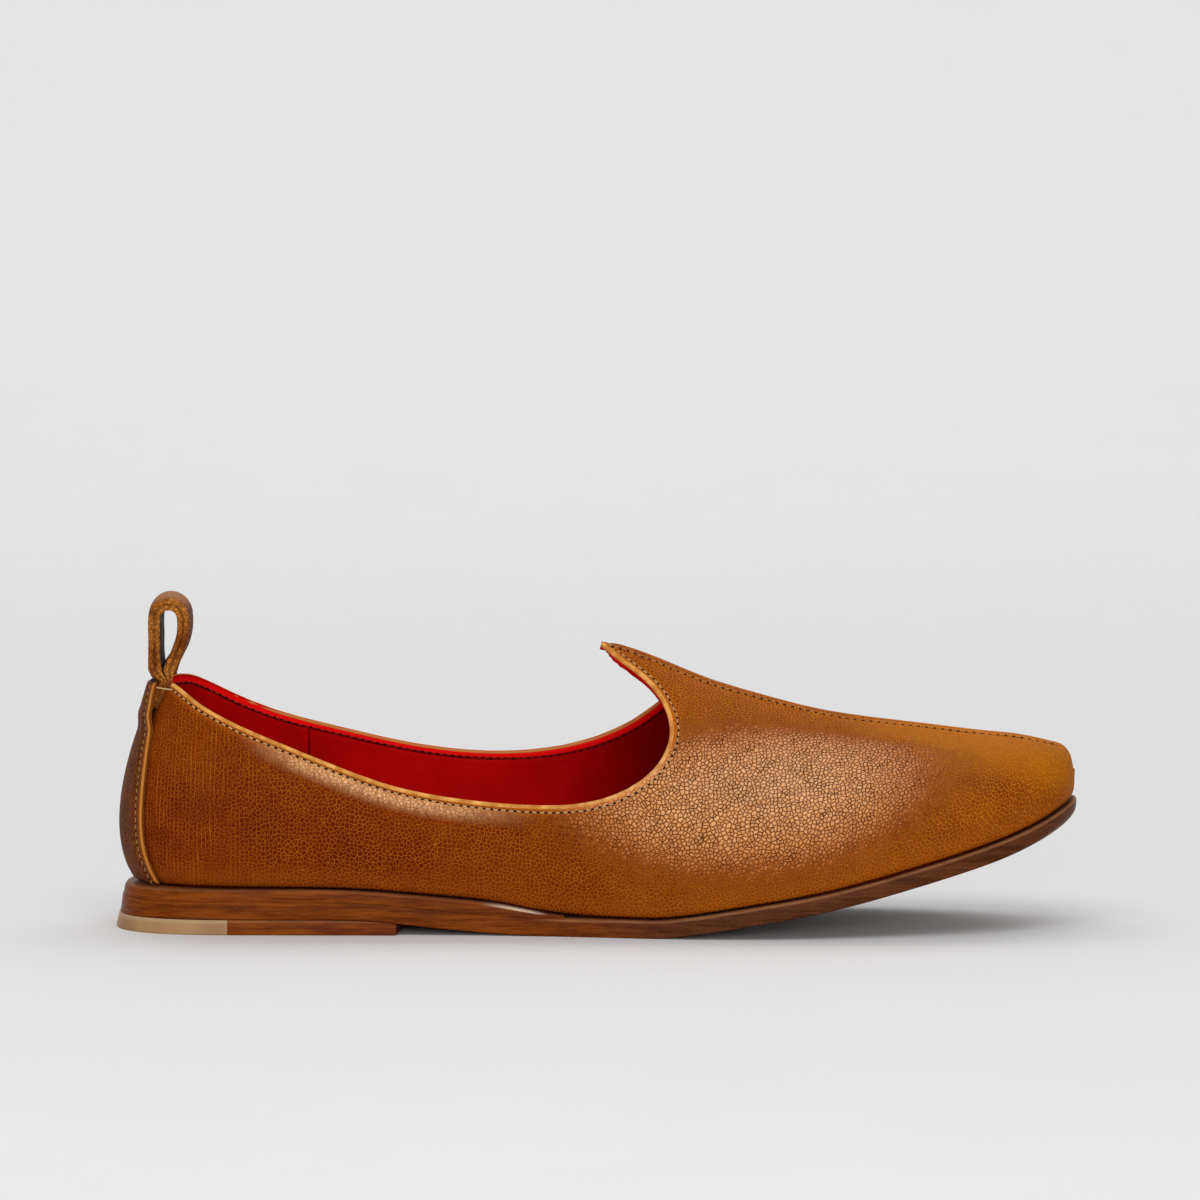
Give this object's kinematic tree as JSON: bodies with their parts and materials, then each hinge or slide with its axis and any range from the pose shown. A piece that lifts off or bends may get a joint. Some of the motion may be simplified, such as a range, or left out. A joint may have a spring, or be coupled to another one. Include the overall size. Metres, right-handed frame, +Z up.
{
  "type": "khussa",
  "caption": "Slip-on leather shoe for a right foot, with a peaked throat, an upright pull loop at the heel and a slim leather sole on a low stacked heel.",
  "frame": {"origin": "centre of the shoe's box, at the level of the floor that it stands on", "axes": "+X from the heel to the toe, +Y towards the inner side of the foot, +Z up"},
  "size_m": [0.3, 0.0942, 0.1041],
  "materials": {
    "tan_leather": "waxed tan leather with a fine pebbled grain, burnished darker towards the sole",
    "sole_leather": "dark brown dyed vegetable-tanned sole leather, edges waxed",
    "heel_rubber": "pale tan moulded rubber, matt",
    "red_lining": "smooth red lining leather"
  },
  "bodies": {
    "root": {"outsole": "sole_leather", "heel_seat": "sole_leather", "heel_lift_leather": "sole_leather", "heel_lift_rubber": "heel_rubber", "upper": "tan_leather", "back_strip": "tan_leather", "pull_loop": "tan_leather", "insole": "red_lining"}
  },
  "joints": []
}
